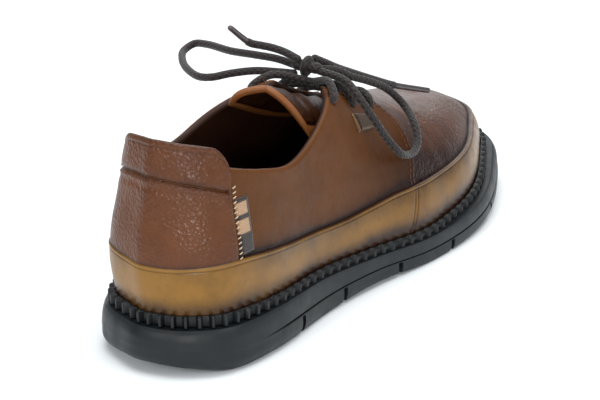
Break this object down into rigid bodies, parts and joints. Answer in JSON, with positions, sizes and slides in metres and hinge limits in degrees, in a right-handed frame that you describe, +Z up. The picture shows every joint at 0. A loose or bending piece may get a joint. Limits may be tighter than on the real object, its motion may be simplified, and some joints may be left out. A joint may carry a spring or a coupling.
{
  "type": "casual shoe",
  "caption": "Right low lace-up casual shoe: hollow leather upper with a mudguard band, raised heel tab and tied round laces on a flared rubber cup sole.",
  "frame": {"origin": "on the floor, under the middle of the heel, where the heel stands flat", "axes": "+X to the outer side of the right foot, +Y to the toe, +Z up"},
  "size_m": [0.1291, 0.298, 0.1102],
  "materials": {
    "rubber_sole": "moulded dark blue-grey rubber, satin",
    "lining": "dark brown lining leather, matt",
    "brown_leather": "smooth brown leather, burnished darker towards its edges",
    "tan_leather": "waxy tan leather, burnished dark at both edges",
    "grained_leather": "pebbled red-brown leather with a soft gloss",
    "lace_cord": "dark brown waxed braided cord",
    "lace_tip": "dark, slightly clear plastic lace tips",
    "ribbon": "grey woven ribbon with two pale bars",
    "plate_metal": "plain bronzed metal plate"
  },
  "bodies": {
    "root": {"outsole": "rubber_sole", "midsole": "rubber_sole", "welt": "rubber_sole", "insole": "lining", "upper": "brown_leather", "mudguard": "tan_leather", "heel_counter": "grained_leather", "tongue": "brown_leather", "side_tab": "ribbon", "side_plate": "plate_metal", "lace_crossings": "lace_cord", "lace_knot": "lace_cord", "lace_loop_medial": "lace_cord", "lace_loop_lateral": "lace_cord", "lace_end_back": "lace_cord", "lace_end_forward": "lace_cord", "aglet_back": "lace_tip", "aglet_forward": "lace_tip"}
  },
  "joints": []
}
